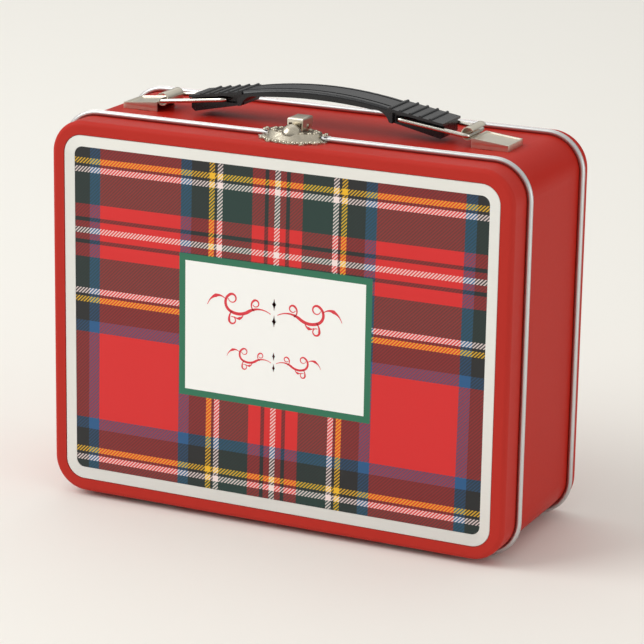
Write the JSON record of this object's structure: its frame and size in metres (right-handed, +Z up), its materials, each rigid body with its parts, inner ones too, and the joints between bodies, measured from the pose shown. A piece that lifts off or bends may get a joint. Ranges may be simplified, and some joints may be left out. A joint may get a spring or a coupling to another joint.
{
  "type": "carry tin",
  "caption": "Shallow rectangular tin with a printed front lid hinged at the bottom, silver rim beads, a top latch and a black carrying handle on wire loops.",
  "frame": {"origin": "under the middle of the case, level with the lowest points of the two rim beads that it stands on", "axes": "+X to the right seen from the front, +Y from the front lid to the back panel, +Z up"},
  "size_m": [0.1994, 0.0762, 0.1694],
  "materials": {
    "red_enamel": "gloss red enamel on tinplate",
    "bare_tin": "bright bare tinplate, satin",
    "bright_plate": "fine brushed aluminium",
    "printed_face": "gloss print of a woven check with a plain label",
    "nickel_plate": "nickel plated pressings, semi-bright",
    "nickel_wire": "nickel plated round wire",
    "black_moulding": "black moulded plastic, semi-gloss",
    "hinge_steel": "plain steel strip"
  },
  "bodies": {
    "case": {"body_band": "red_enamel", "front_rim_bead": "bare_tin", "rear_rim_bead": "bare_tin", "back_panel": "red_enamel", "hinge_leaf_body": "hinge_steel", "hinge_pins": "hinge_steel", "bracket_left": "nickel_plate", "bracket_right": "nickel_plate", "latch_base": "nickel_plate", "latch_base_rivets": "nickel_plate", "hasp_pin": "nickel_wire"},
    "lid": {"lid_shell": "red_enamel", "frame_plate": "bright_plate", "printed_panel": "printed_face", "hinge_leaf_lid": "hinge_steel", "keeper_plate": "nickel_plate", "keeper_rivets": "nickel_plate"},
    "hasp": {"hasp": "nickel_plate"},
    "handle": {"handle_grip": "black_moulding"},
    "wire_left": {"wire_loop_left": "nickel_wire"},
    "wire_right": {"wire_loop_right": "nickel_wire"}
  },
  "joints": [
    {"name": "lid_hinge", "type": "hinge", "parent": "case", "child": "lid", "pos_m": [0, -0.0249, 0.0011], "axis": [1, 0, 0], "range_deg": [0, 180]},
    {"name": "hasp_hinge", "type": "hinge", "parent": "case", "child": "hasp", "pos_m": [0.0022, -0.0206, 0.15882], "axis": [-1, 0, 0], "range_deg": [0, 80]},
    {"name": "handle_lift", "type": "slide", "parent": "case", "child": "handle", "axis": [0, 0, 1], "range_m": [0, 0.008]},
    {"name": "wire_left_turn", "type": "hinge", "parent": "case", "child": "wire_left", "pos_m": [-0.0658, 0, 0.15882], "axis": [0, -1, 0], "range_deg": [0, 16.6]},
    {"name": "wire_right_turn", "type": "hinge", "parent": "case", "child": "wire_right", "pos_m": [0.0658, 0, 0.15882], "axis": [0, 1, 0], "range_deg": [0, 16.6]}
  ],
  "couplings": [
    {"joint": "wire_left_turn", "follows": "handle_lift", "rad_per_m": 35.86},
    {"joint": "wire_right_turn", "follows": "handle_lift", "rad_per_m": 35.86}
  ]
}
